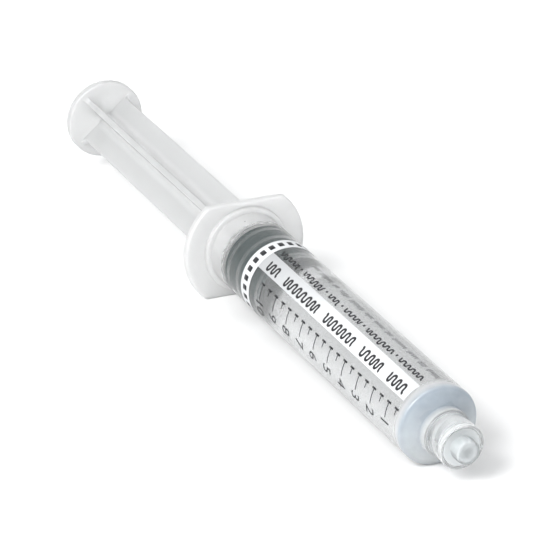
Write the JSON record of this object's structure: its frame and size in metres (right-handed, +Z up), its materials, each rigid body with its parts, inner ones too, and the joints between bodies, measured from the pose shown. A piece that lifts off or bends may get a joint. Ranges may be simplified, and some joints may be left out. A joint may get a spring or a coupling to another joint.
{
  "type": "pre-filled flush syringe",
  "caption": "Pre-filled saline flush syringe lying on its side: clear barrel with finger flange and luer-lock collar, ribbed plunger rod, rubber stopper, tip cap and graduated label film.",
  "frame": {"origin": "on the floor, below the middle of the whole syringe's length and width", "axes": "+X along the syringe from the thumb disc to the luer tip, with the syringe's own axis dipping 1.5 degrees below +X because it lies on its flange and on the front of its barrel; +Y to the left seen from the thumb disc; +Z up"},
  "size_m": [0.1718, 0.027, 0.0212],
  "materials": {
    "barrel_plastic": "clear polypropylene, faint blue-grey, smooth moulded gloss",
    "rod_plastic": "milky translucent polypropylene, satin",
    "stopper_rubber": "grey rubber, dull sheen where it presses on the wall",
    "cap_plastic": "clear to milky polypropylene",
    "label_film": "clear film with white fields, black graduations and a chequer ring",
    "saline": "clear colourless liquid"
  },
  "bodies": {
    "barrel": {"barrel": "barrel_plastic", "label_film": "label_film", "saline_fill": "saline"},
    "plunger": {"plunger_rod": "rod_plastic", "stopper": "stopper_rubber"},
    "tip_cap": {"tip_cap": "cap_plastic"}
  },
  "joints": [
    {"name": "plunger_slide", "type": "slide", "parent": "barrel", "child": "plunger", "axis": [0.9997, 0, -0.0261], "range_m": [-0.006, 0.06], "deforming": ["saline_fill"]},
    {"name": "cap_pull", "type": "slide", "parent": "barrel", "child": "tip_cap", "axis": [0.9997, 0, -0.0261], "range_m": [0, 0.03]}
  ]
}
